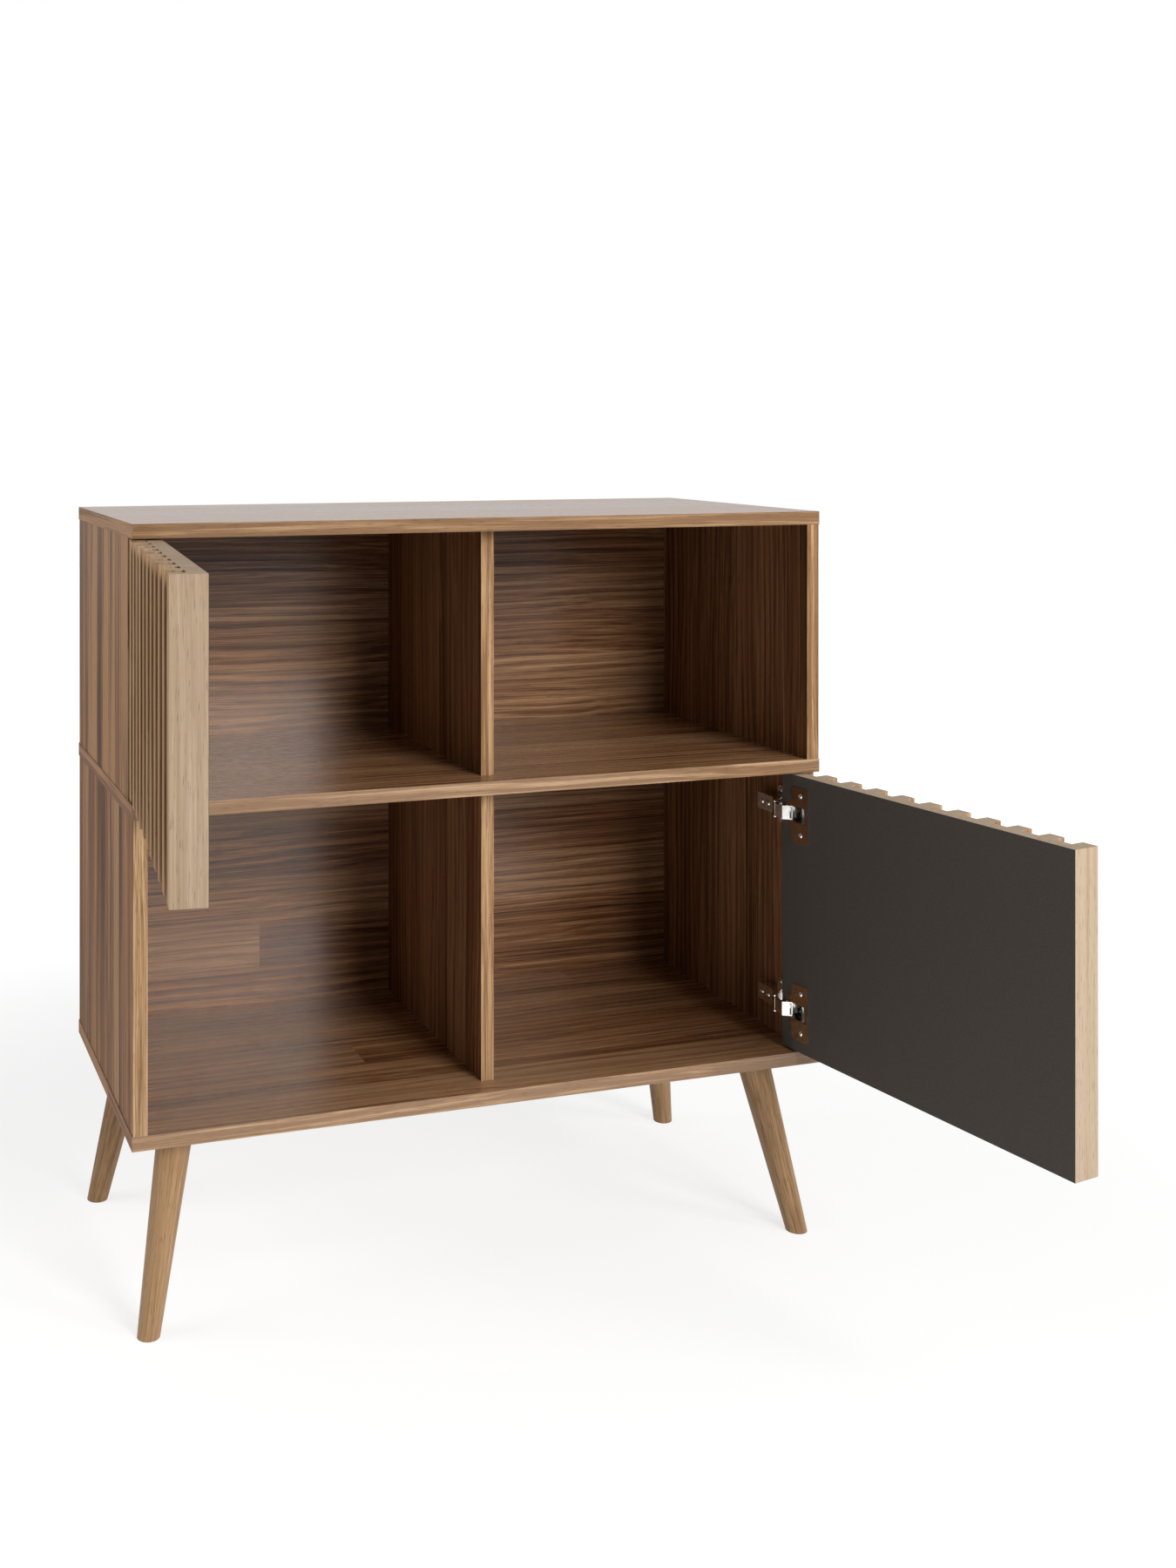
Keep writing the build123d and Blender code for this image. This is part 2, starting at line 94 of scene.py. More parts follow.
LEVEL_LOOKS = {
    "top_panel": BoardLook(roughness=0.28, gloss=0.5, lift=0.17),
    "middle_shelf": BoardLook(roughness=0.24, gloss=0.5, lift=0.17),
    "bottom_panel": BoardLook(roughness=0.24, gloss=0.5, lift=0.17),
}
BACK_LOOK = BoardLook(roughness=0.22, gloss=0.42, lift=0.03, bands=0.5, patch=0.18)
UPRIGHT_LOOK = BoardLook(roughness=0.56, gloss=0.05, lift=0.10, bands=0.7, patch=0.16, contrast=0.9,
                         rim_drop=0.38)
# Painted light and shade on the uprights: the left sides lifted as if lit, the upper more than the lower,
# the right sides darker as if in shade, and each front edge's drop set to its light
UPRIGHT_LOOKS = {
    "upper_left_side": UPRIGHT_LOOK._replace(gloss=0.22, lift=0.19, bands=1.9, rim_drop=0.32),
    "lower_left_side": UPRIGHT_LOOK._replace(gloss=0.22, lift=0.07, bands=1.5, rim_drop=0.31),
    "upper_right_side": UPRIGHT_LOOK._replace(lift=0.08, rim_drop=0.52),
    "lower_right_side": UPRIGHT_LOOK._replace(lift=0.05, rim_drop=0.34),
    "upper_divider": UPRIGHT_LOOK,
    "lower_divider": UPRIGHT_LOOK._replace(rim_drop=0.26),
}
DOOR_LOOK = WoodLook(roughness=0.56, gloss=0.06, flame=0.08)
LEG_LOOK = WoodLook(roughness=0.44, gloss=0.3, flame=0.10)
DOWEL_LOOK = WoodLook(roughness=0.6, gloss=0.3, flame=0.05)

# Waves per metre of each layer of the wood's figure: along the grain, across it and through it
WANDER_WAVES = (1.7, 8.0, 8.0)
BAND_WAVES = (1.1, 26.0, 26.0)
STREAK_WAVES = (2.4, 310.0, 310.0)
FIBRE_WAVES = (8.0, 900.0, 900.0)
PORE_WAVES = (60.0, 1250.0, 1250.0)
STREAK_DETAIL = 5.0
STREAK_RAGGED = 0.66
PORE_DETAIL = 1.0

# How far the rings sway, in radians, and the streaks, in metres
RING_SWAY = 26.0
STREAK_SWAY = 0.024

# The share of each layer in the lines, and what brings their sum to about a half
STREAK_SHARE = 1.20
FIBRE_SHARE = 0.72
LINES_DROP = 0.46

# The strength of the broad bands in plain wood, and of bands and lines in a board's front edge
PLAIN_BANDS = 0.62
RIM_BANDS = 0.3
RIM_LINES = 1.6

# How many stretches of grain the pieces share, and how far the grain moves on from one to the next
# and from strip to strip, in metres
PIECE_NUMBERS = 97
PIECE_STEP = (1.37, 0.31, 0.17)
STRIP_STEP = (9.0, 1.7, 0.9)

# How far the strips' joints are staggered, in strips, and the tint of the warmest and coolest strip
STRIP_STAGGER = 5.0
STRIP_WARMTH = [(0.0, (1.0, 0.93, 0.86)), (1.0, (1.0, 1.04, 1.06))]

# Where the dark, main and light tones of a wood lie, and the two shades of a plain finish
TONE_STOPS = (0.20, 0.50, 0.82)
SHADE_STOPS = (0.3, 0.7)

# Pores: where the noise turns into a tick, how strong a tick is and its tint
PORE_START = 0.60
PORE_FULL = 0.72
PORE_SHARE = 0.55
PORE_TINT = (0.42, 0.36, 0.32, 1.0)

# Relief of the wood's surface, its depth in metres, how far its roughness swings, and its refraction
WOOD_RELIEF = 0.5
WOOD_BUMP = 0.18
WOOD_BUMP_DEPTH = 0.0002
ROUGHNESS_SWING = 0.16
WOOD_IOR = 1.5

# How much duller a front edge and a board's end are than its face
BAND_DULL = 0.1
END_DULL = 0.4

# How far in front of a thin back its unseen band lies, in metres
CLEAR_AHEAD = 1.0

# Doors: painted light on each one's pale edges, a painted sheen lifting the lower door's and painted shade
# lowering the upper's, and the fine speckle of the plain face inside
PAINTED_EDGE_LIGHT = {"upper_door": -0.10, "lower_door": 0.24}
SPECKLE_WAVES = (900.0, 900.0, 900.0)
COVER_SHADES = (0.88, 1.12)
SPECKLE_DULL = 0.08
COVER_DULL = 0.02

# The share of a leg's box that its lean takes up, across and from front to back
LEAN_ACROSS = 0.54
LEAN_BACK = 0.556

# Dowels: their own stretch of grain, and the shades of their dark and light tones
DOWEL_NUMBER = 5
DOWEL_SHADES = (0.7, 1.25)

# Plating: waves per metre of its clouds and rolled lines, and how rough each kind is
CLOUD_WAVES = (180.0, 180.0, 180.0)
CLOUD_DETAIL = 3.0
ROLLED_WAVES = (300.0, 300.0, 2600.0)
PLATE_SHADES = (0.82, 1.0)
PLATE_BUMP = 0.05
PLATE_BUMP_DEPTH = 0.0001
CLOUD_DULL = 0.10
ROLLED_DULL = 0.05
HINGE_ROUGHNESS = 0.07
JOINERY_ROUGHNESS = 0.22
SCREW_ROUGHNESS = 0.16

# Screws: sides of head and shank, shape of the head, and the least gap between two screws in metres
HEAD_SIDES = 32
HEAD_STEPS = 3
SHANK_SIDES = 16
HEAD_TAPER = 0.72
RECESS_REACH = 1.1
SCREW_GAP = 0.003
SCREW_INPUTS = ("Head radius", "Head height", "Shank radius", "Shank length", "Recess width",
                "Recess depth")

# Lights, and the boards inside the cells that take the sheen
KEY_LAMP = Lamp(place=(1.5, -4.6, 2.5), target=(0.0, 0.0, 0.45), size=2.0)
SHEEN_LAMP = Lamp(place=(1.0, -4.6, 2.1), target=(-0.2, 0.1, 0.45), size=1.4)
SIDE_LAMP = Lamp(place=(2.3, -1.8, 2.6), target=(0.0, 0.0, 0.4), size=0.6)
FILL_LAMP = Lamp(place=(-2.6, 0.4, 1.5), target=(-0.3, 0.1, 0.5), size=1.6)
SHEEN_BOARDS = ("upper_back_panel", "lower_back_panel", "middle_shelf", "bottom_panel")

# Width of the camera's sensor, in millimetres
SENSOR_WIDTH = 36.0

# What reflections find in front of the object, where white is one, and how softly it turns white behind
FRONT_WALL = 0.2
WALL_BLEND = 0.3

# Floor: its greys for light and for the camera, and where it grows white and where it glows for reflections
# only, a painted reflection in the boards, in metres
FLOOR_REACH = 9.0
FLOOR_GREY = (0.80, 0.80, 0.80, 1.0)
FLOOR_SEEN_GREY = (0.32, 0.32, 0.32, 1.0)
FAR_START = 0.7
FAR_FULL = 2.0
FAR_LIFT = 0.28
SHINE_PLACE = (0.0, -0.8, 0.0)
SHINE_START = 0.35
SHINE_END = 1.5
SHINE_STRENGTH = 1.4


def colour(name, description, default):
    """A colour that a user can change."""
    return FloatVectorProperty(name=name, description=description, default=default, size=3,
                               min=0.0, max=1.0, subtype="COLOR")


def length(name, description, default):
    """A length that a user can change."""
    return FloatProperty(name=name, description=description, default=default, min=0.0,
                         subtype="DISTANCE", unit="LENGTH")


def angle(name, description, degrees):
    """An angle that a user can change."""
    return FloatProperty(name=name, description=description, default=radians(degrees),
                         subtype="ANGLE", unit="ROTATION")


def power(name, description, default):
    """A lamp's power that a user can change."""
    return FloatProperty(name=name, description=description, default=default, unit="POWER")


class WoodSettings(bpy.types.PropertyGroup):
    """Tones and figure of the boards, doors, legs and dowels."""

    board_dark: colour("Board dark", "Darkest line in the boards' grain", (0.048, 0.018, 0.0075))
    board_mid: colour("Board middle", "Main tone of the boards", (0.165, 0.075, 0.033))
    board_light: colour("Board light", "Lightest streak in the boards", (0.345, 0.188, 0.092))
    edge_dark: colour("Edge dark", "Darkest line in the boards' front edges", (0.225, 0.12, 0.056))
    edge_mid: colour("Edge middle", "Main tone of the boards' front edges", (0.375, 0.226, 0.116))
    edge_light: colour("Edge light", "Lightest streak in the boards' front edges", (0.50, 0.33, 0.188))
    batten_dark: colour("Batten dark", "Darkest line in the doors' battens", (0.235, 0.129, 0.062))
    batten_mid: colour("Batten middle", "Main tone of the doors' battens", (0.36, 0.208, 0.105))
    batten_light: colour("Batten light", "Lightest streak in the doors' battens", (0.56, 0.395, 0.25))
    door_edge_dark: colour("Door edge dark", "Darkest line in the doors' pale edges", (0.31, 0.215, 0.133))
    door_edge_mid: colour("Door edge middle", "Main tone of the doors' pale edges", (0.392, 0.287, 0.194))
    door_edge_light: colour("Door edge light", "Lightest streak in the doors' pale edges",
                            (0.463, 0.357, 0.255))
    inner_face: colour("Door inside", "Plain face on the inside of the doors", (0.092, 0.080, 0.070))
    groove_shade: colour("Groove", "Dark ground between the battens", (0.050, 0.031, 0.019))
    leg_dark: colour("Leg dark", "Darkest line in the legs", (0.18, 0.095, 0.042))
    leg_mid: colour("Leg middle", "Main tone of the legs", (0.325, 0.19, 0.09))
    leg_light: colour("Leg light", "Lightest streak in the legs", (0.42, 0.27, 0.143))
    beech: colour("Dowels", "Pale wood of the dowels", (0.56, 0.40, 0.25))
    ring_spacing: length("Ring spacing", "Distance between growth rings", 0.012)
    strip_width: length("Strip width", "Width of the glued strips in the boards", 0.058)
    strip_length: length("Strip length", "Length of the glued strips in the level boards and backs", 2.2)
    upright_length: length("Upright strip length",
                           "Length of the uprights' glued strips, so long that they seldom end on a board",
                           40.0)
    edge_band: length("Edge band", "Depth to which an edge's own finish shows", 0.0004)


class MetalSettings(bpy.types.PropertyGroup):
    """Plated hinges and the screws that hold them."""

    plate: colour("Hinge plating", "Bright plating of the hinges", (0.80, 0.78, 0.75))
    zinc: colour("Screw plating", "Duller plating of the screws, bolts and nuts", (0.62, 0.62, 0.60))
    head_radius: length("Head radius", "Radius of a screw's head", 0.0032)
    head_height: length("Head height", "Height of a screw's head", 0.0014)
    shank_radius: length("Shank radius", "Radius of a screw's shank", 0.0016)
    recess_width: length("Recess width", "Width of the cross recess", 0.0009)
    recess_depth: length("Recess depth", "Depth of the cross recess", 0.0007)


class StageSettings(bpy.types.PropertyGroup):
    """Doors' openings, camera, lights and floor."""

    upper_opening: angle("Upper door", "How far the upper door stands open at rest", 96.0)
    lower_opening: angle("Lower door", "How far the lower door stands open at rest", 100.0)
    eye: FloatVectorProperty(name="Camera place", description="Where the camera stands", size=3,
                             default=(-0.724443, -1.662599, 0.93774), subtype="TRANSLATION", unit="LENGTH")
    yaw: angle("Camera turn", "Turn of the level camera to the right", 17.286)
    lens: FloatProperty(name="Lens", description="Focal length in millimetres", default=51.245,
                        unit="CAMERA")
    shift_x: FloatProperty(name="Shift across", description="Lens shift across the picture", default=0.2195)
    shift_y: FloatProperty(name="Shift up", description="Lens shift up the picture", default=-0.30996)
    key_power: power("Key light", "Power of the light in front, a little to the right", 238.0)
    sheen_power: power("Sheen light", "Power of the sheen on the boards inside", 170.0)
    fill_power: power("Fill light", "Power of the soft light at the left", 27.0)
    side_power: power("Side light", "Power of the high light at the right", 20.0)
    sky: FloatProperty(name="Sky", description="Strength of the even light all round", default=0.27)
    floor_lift: FloatProperty(name="Floor lift", description="White that the floor adds for the camera",
                              default=0.74)


class Field:
    """A node's socket that takes part in Python expressions."""

    def __init__(self, tree, socket=None):
        self.tree = tree
        self.socket = socket

    def node(self, kind, settings=None, sockets=None, out=0):
        """Adds any node: its settings first, then its sockets' values or links, in a list if several."""
        made = self.tree.nodes.new(kind)
        for key, value in (settings or {}).items():
            if key == "stops":
                set_stops(made.color_ramp, value)
            else:
                setattr(made, key, value)
        for key, given in (sockets or {}).items():
            for value in given if isinstance(given, list) else [given]:
                if isinstance(value, Field):
                    self.tree.links.new(value.socket, made.inputs[key])
                else:
                    made.inputs[key].default_value = value
        return Field(self.tree, made.outputs[out] if made.outputs else None)

    def maths(self, operation, *others):
        """One Math node on this value and others."""
        return self.node("ShaderNodeMath", {"operation": operation}, dict(enumerate((self, *others))))

    def swapped(self, operation, other):
        """One Math node with a number first and this value second."""
        return self.node("ShaderNodeMath", {"operation": operation}, {0: other, 1: self})

    def __add__(self, other):
        return self.maths("ADD", other)

    def __radd__(self, other):
        return self.swapped("ADD", other)

    def __sub__(self, other):
        return self.maths("SUBTRACT", other)

    def __rsub__(self, other):
        return self.swapped("SUBTRACT", other)

    def __mul__(self, other):
        return self.maths("MULTIPLY", other)

    def __rmul__(self, other):
        return self.swapped("MULTIPLY", other)

    def __lt__(self, other):
        return self.maths("LESS_THAN", other)

    def __gt__(self, other):
        return self.maths("GREATER_THAN", other)

    def ramp(self, stops):
        """A colour for each value."""
        return self.node("ShaderNodeValToRGB", {"stops": stops}, {0: self})

    def smooth(self, low, high):
        """Nought below one value and one above another, eased between."""
        settings = {"interpolation_type": "SMOOTHSTEP", "clamp": True}
        return self.node("ShaderNodeMapRange", settings, {0: self, 1: low, 2: high})

    def between(self, first, second):
        """A colour between two, with this value as the share of the second."""
        return self.node("ShaderNodeMix", {"data_type": "RGBA"}, {0: self, 6: first, 7: second}, 2)

    def place_between(self, first, second):
        """A vector between two, with this value as the share of the second."""
        return self.node("ShaderNodeMix", {"data_type": "VECTOR"}, {0: self, 4: first, 5: second}, 1)

    def tinted(self, tint, share=1.0):
        """This colour multiplied by another, or by a share of it."""
        settings = {"data_type": "RGBA", "blend_type": "MULTIPLY"}
        return self.node("ShaderNodeMix", settings, {0: share, 6: self, 7: tint}, 2)

    def part(self, name):
        """One coordinate of this vector, named X, Y or Z."""
        return self.node("ShaderNodeSeparateXYZ", {}, {0: self}, name)

    def reach(self, axis):
        """How far this place lies along an axis."""
        return self.node("ShaderNodeVectorMath", {"operation": "DOT_PRODUCT"}, {0: self, 1: axis}, "Value")

    def moved(self, step):
        """This place moved by a step."""
        return self.node("ShaderNodeVectorMath", {"operation": "ADD"}, {0: self, 1: step})

    def noise(self, waves, detail=2.0, roughness=0.5):
        """Noise on these coordinates, with its waves per metre along each axis."""
        place = self.node("ShaderNodeVectorMath", {"operation": "MULTIPLY"}, {0: self, 1: waves})
        sockets = {"Vector": place, "Scale": 1.0, "Detail": detail, "Roughness": roughness}
        return self.node("ShaderNodeTexNoise", {}, sockets)


def set_stops(ramp, stops):
    """Gives a colour ramp its stops."""
    while len(ramp.elements) < len(stops):
        ramp.elements.new(1.0)
    for element, (place, tone) in zip(ramp.elements, stops):
        element.position = place
        element.color = (*tone, 1.0)


def start_material(name):
    """A new material with an empty tree, and a field to build from."""
    material = bpy.data.materials.new(name)
    material.use_nodes = True
    material.node_tree.nodes.clear()
    return material, Field(material.node_tree)


def finish_material(start, sockets):
    """Ends a material in a shader and its output."""
    shader = start.node("ShaderNodeBsdfPrincipled", {}, sockets)
    start.node("ShaderNodeOutputMaterial", {}, {"Surface": shader})


class Grain:
    """Coordinates that follow a piece of wood: along the grain, across it and through it."""

    def __init__(self, start, along, across, number):
        self.place = start.node("ShaderNodeTexCoord", out="Object")
        axes = (along, across, along.cross(across))
        self.along, self.across, self.through = [self.place.reach(axis) for axis in axes]
        self.number = number

    def solid(self):
        """The three coordinates as one vector, moved on so that no two pieces match."""
        ways = (self.along, self.across, self.through)
        moved = [way + self.number * step for way, step in zip(ways, PIECE_STEP)]
        return self.along.node("ShaderNodeCombineXYZ", {}, dict(enumerate(moved)))


def strips(place, width, length):
    """Coordinates moved on from one glued strip to the next, and a steady shade for each strip."""
    row = (place.part("Y") * (1 / width)).maths("FLOOR")
    start = row.node("ShaderNodeTexWhiteNoise", {"noise_dimensions": "1D"}, {"W": row})
    turn = (place.part("X") * (1 / length) + start * STRIP_STAGGER).maths("FLOOR")
    spot = row.node("ShaderNodeCombineXYZ", {}, {0: row, 1: turn})
    shade = row.node("ShaderNodeTexWhiteNoise", {"noise_dimensions": "2D"}, {"Vector": spot})
    moves = [shade * step for step in STRIP_STEP]
    return place.moved(shade.node("ShaderNodeCombineXYZ", {}, dict(enumerate(moves)))), shade


def wood_figure(place, spacing, flame):
    """Broad bands about nought, and lines about a half: wandering streaks, flames of rings, fine fibre."""
    wander = place.noise(WANDER_WAVES)
    ring = ((place.part("Y") + place.part("Z")) * (2 * pi / spacing) + wander * RING_SWAY).maths("SINE")
    sway = wander * STREAK_SWAY
    bent = place.moved(place.node("ShaderNodeCombineXYZ", {}, {1: sway, 2: sway}))
    broad = bent.noise(BAND_WAVES)
    streak = bent.noise(STREAK_WAVES, STREAK_DETAIL, STREAK_RAGGED)
    fibre = bent.noise(FIBRE_WAVES)
    lines = streak * STREAK_SHARE + fibre * FIBRE_SHARE + ring * wander * flame - LINES_DROP
    return broad - 0.5, lines


def wood_tone(place, spacing, flame):
    """How light plain wood is, about a half."""
    broad, lines = wood_figure(place, spacing, flame)
    return broad * PLAIN_BANDS + lines


def pore_marks(place):
    """Short dark ticks along the grain."""
    return place.noise(PORE_WAVES, PORE_DETAIL).smooth(PORE_START, PORE_FULL)


def tones(dark, mid, light):
    """Stops from the darkest line to the lightest streak."""
    return [(stop, tuple(tone)) for stop, tone in zip(TONE_STOPS, (dark, mid, light))]


def shades(tint, factors):
    """Stops from a darker to a lighter shade of one colour."""
    return [(stop, tuple(factor * part for part in tint)) for stop, factor in zip(SHADE_STOPS, factors)]


def wood_sockets(tone, base, pores, look):
    """What a finished wood feeds to its shader."""
    height = tone * WOOD_RELIEF - pores * WOOD_RELIEF
    bump = tone.node("ShaderNodeBump", {}, {"Strength": WOOD_BUMP, "Distance": WOOD_BUMP_DEPTH,
                                            "Height": height})
    return {"Base Color": base.tinted(PORE_TINT, pores * PORE_SHARE),
            "Roughness": tone * ROUGHNESS_SWING + (look.roughness - ROUGHNESS_SWING / 2),
            "Normal": bump, "IOR": WOOD_IOR, "Specular IOR Level": look.gloss}


def near_ends(value, low, high, band):
    """One within a thin band of either end of a span."""
    return (value - (low + high) / 2).maths("ABSOLUTE") > (high - low) / 2 - band


def assign(node, material):
    """Gives a carried-over piece its finish."""
    slots = NODES[node].data.materials
    if not slots:
        slots.append(material)
    for place in range(len(slots)):
        slots[place] = material


def piece_number(name):
    """A steady number for a name, so that each piece has its own stretch of grain."""
    return sum(place * ord(letter) for place, letter in enumerate(name, 1)) % PIECE_NUMBERS


def plain_wood(name, along, across, number, stops, look):
    """Wood of one kind all over, with its grain one way."""
    material, start = start_material(name)
    seat = Grain(start, along, across, number).solid()
    tone = wood_tone(seat, bpy.context.scene.storage_wood.ring_spacing, look.flame)
    finish_material(start, wood_sockets(tone, tone.ramp(stops), pore_marks(seat), look))
    return material


def board_finish(node, along, across, look, thin=False):
    """Board of glued strips, with a paler front edge and turned grain on a level board's ends."""
    wood = bpy.context.scene.storage_wood
    material, start = start_material(f"{node}_finish")
    low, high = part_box(node)
    grain = Grain(start, along, across, piece_number(node))
    # A thin back sits in grooves and shows no front edge, so its band lies clear of it
    band = grain.place.part("Y") < (low.y - CLEAR_AHEAD if thin else low.y + wood.edge_band)
    seat = grain.solid()
    dull = band * BAND_DULL
    if along == RIGHT and not thin:
        end = near_ends(grain.place.part("X"), low.x, high.x, wood.edge_band)
        turned = Grain(start, across, along, piece_number(node)).solid()
        seat = end.place_between(seat, turned)
        dull = dull + end * END_DULL
    glued, shade = strips(seat, wood.strip_width, wood.upright_length if along == UP else wood.strip_length)
    seat = band.place_between(glued, seat)
    broad, lines = wood_figure(seat, wood.ring_spacing, look.flame)
    patches = (shade - 0.5) * (1.0 - band) * look.patch
    tone = broad * look.bands + lines * look.contrast + (0.5 - 0.5 * look.contrast) + patches
    # Painted light and shade: the board's lift brightens its face and its rim drop darkens its front edge,
    # set per board to the light that falls there
    face = (tone + look.lift).ramp(tones(wood.board_dark, wood.board_mid, wood.board_light))
    face = face.tinted(shade.ramp(STRIP_WARMTH))
    rim = broad * RIM_BANDS + lines * RIM_LINES - look.rim_drop
    rim = rim.ramp(tones(wood.edge_dark, wood.edge_mid, wood.edge_light))
    sockets = wood_sockets(tone, band.between(face, rim), pore_marks(seat), look)
    sockets["Roughness"] = sockets["Roughness"] + dull
    finish_material(start, sockets)
    return material


class STORAGE_OT_boards(bpy.types.Operator):
    """Finish the level boards, sides, dividers and backs"""

    bl_idname = "storage.boards"
    bl_label = "Boards"

    def execute(self, context):
        for node, look in LEVEL_LOOKS.items():
            assign(node, board_finish(node, RIGHT, BACK, look))
        for node in ("upper_back_panel", "lower_back_panel"):
            assign(node, board_finish(node, RIGHT, UP, BACK_LOOK, thin=True))
        for node, look in UPRIGHT_LOOKS.items():
            assign(node, board_finish(node, UP, BACK, look))
        return {"FINISHED"}


def door_axes(door):
    """The ways along and through a door where it stands open."""
    stage = bpy.context.scene.storage_stage
    if door == "lower_door":
        opening = stage.lower_opening
        return Vector((-cos(opening), -sin(opening), 0)), Vector((sin(opening), -cos(opening), 0))
    opening = stage.upper_opening
    return Vector((cos(opening), -sin(opening), 0)), Vector((-sin(opening), -cos(opening), 0))


def span_along(node, axis):
    """The least and greatest reach of a piece along an axis."""
    reach = [vertex.co.dot(axis) for vertex in NODES[node].data.vertices]
    return min(reach), max(reach)


def door_finish(node, door, panel):
    """Upright grain with pale edges, and on a panel a plain inside and a dark ground under the battens,
    painted shade for the gaps between them.
    """
    wood = bpy.context.scene.storage_wood
    material, start = start_material(f"{node}_finish")
    along, through = door_axes(door)
    grain = Grain(start, UP, along, piece_number(node))
    seat = grain.solid()
    tone = wood_tone(seat, wood.ring_spacing, DOOR_LOOK.flame)
    face = tone.ramp(tones(wood.batten_dark, wood.batten_mid, wood.batten_light))
    # Painted light on the pale edges: a painted sheen on the lower door, painted shade on the upper
    pale = tone + PAINTED_EDGE_LIGHT[door]
    pale = pale.ramp(tones(wood.door_edge_dark, wood.door_edge_mid, wood.door_edge_light))
    low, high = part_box(node)
    end = near_ends(grain.place.part("Z"), low.z, high.z, wood.edge_band)
    rim = grain.across > span_along(node, along)[1] - wood.edge_band
    edges = end.maths("MAXIMUM", rim)
    sockets = wood_sockets(tone, edges.between(face, pale), pore_marks(seat), DOOR_LOOK)
    if panel:
        depth = grain.place.reach(through)
        inner, outer = span_along(node, through)
        inside = depth < inner + wood.edge_band
        # Painted shade: the panel's outer face between the battens is darkened as if the deep gaps were in
        # shadow
        shaded_gap_mask = (depth > outer - wood.edge_band) * (1.0 - edges)
        speckle = grain.place.noise(SPECKLE_WAVES)
        cover = speckle.ramp(shades(wood.inner_face, COVER_SHADES))
        ground = tone.ramp(shades(wood.groove_shade, COVER_SHADES))
        sockets["Base Color"] = shaded_gap_mask.between(inside.between(sockets["Base Color"], cover), ground)
        sockets["Roughness"] = sockets["Roughness"] + inside * (speckle * SPECKLE_DULL + COVER_DULL)
    finish_material(start, sockets)
    return material


class STORAGE_OT_doors(bpy.types.Operator):
    """Finish the doors' panels and battens"""

    bl_idname = "storage.doors"
    bl_label = "Doors"

    def execute(self, context):
        for door in ("upper_door", "lower_door"):
            assign(f"{door}_panel", door_finish(f"{door}_panel", door, True))
            assign(f"{door}_battens", door_finish(f"{door}_battens", door, False))
        return {"FINISHED"}


class STORAGE_OT_legs(bpy.types.Operator):
    """Finish the legs with grain that follows their lean"""

    bl_idname = "storage.legs"
    bl_label = "Legs"

    def execute(self, context):
        wood = context.scene.storage_wood
        stops = tones(wood.leg_dark, wood.leg_mid, wood.leg_light)
        for side, way in (("left", -1), ("right", 1)):
            for end, turn in (("front", -1), ("back", 1)):
                node = f"leg_{end}_{side}"
                low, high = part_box(node)
                lean = Vector((-way * (high.x - low.x) * LEAN_ACROSS,
                               -turn * (high.y - low.y) * LEAN_BACK, high.z))
                along = lean.normalized()
                across = along.cross(BACK).normalized()
                finish = plain_wood(f"{node}_finish", along, across, piece_number(node), stops, LEG_LOOK)
                assign(node, finish)
        return {"FINISHED"}


def plating(name, tint, roughness):
    """Plated steel with faint clouds and rolled lines."""
    material, start = start_material(name)
    place = start.node("ShaderNodeTexCoord", out="Object")
    cloud = place.noise(CLOUD_WAVES, CLOUD_DETAIL)
    lines = place.noise(ROLLED_WAVES)
    bump = start.node("ShaderNodeBump", {}, {"Strength": PLATE_BUMP, "Distance": PLATE_BUMP_DEPTH,
                                             "Height": lines})
    finish_material(start, {"Base Color": cloud.ramp(shades(tint, PLATE_SHADES)), "Metallic": 1.0,
                            "Roughness": cloud * CLOUD_DULL + lines * ROLLED_DULL + roughness,
                            "Normal": bump})
    return material


class STORAGE_OT_hinges(bpy.types.Operator):
    """Finish the hinges' plates, arms, links, cups and pins"""

    bl_idname = "storage.hinges"
    bl_label = "Hinges"

    def execute(self, context):
        bright = plating("hinge_plating", context.scene.storage_metal.plate, HINGE_ROUGHNESS)
        for node in NODES:
            if "_hinge_" in node or node.endswith("_pins"):
                assign(node, bright)
        return {"FINISHED"}


class STORAGE_OT_joinery(bpy.types.Operator):
    """Finish the dowels, leg bolts and insert nuts"""

    bl_idname = "storage.joinery"
    bl_label = "Joinery"

    def execute(self, context):
        zinc = plating("joinery_zinc", context.scene.storage_metal.zinc, JOINERY_ROUGHNESS)
        for node in ("leg_bolts", "leg_insert_nuts"):
            assign(node, zinc)
        pale = tuple(context.scene.storage_wood.beech)
        dark, light = [[min(1.0, factor * part) for part in pale] for factor in DOWEL_SHADES]
        beech = plain_wood("dowel_finish", UP, RIGHT, DOWEL_NUMBER, tones(dark, pale, light), DOWEL_LOOK)
        for node in ("upper_dowels", "lower_dowels"):
            assign(node, beech)
        return {"FINISHED"}


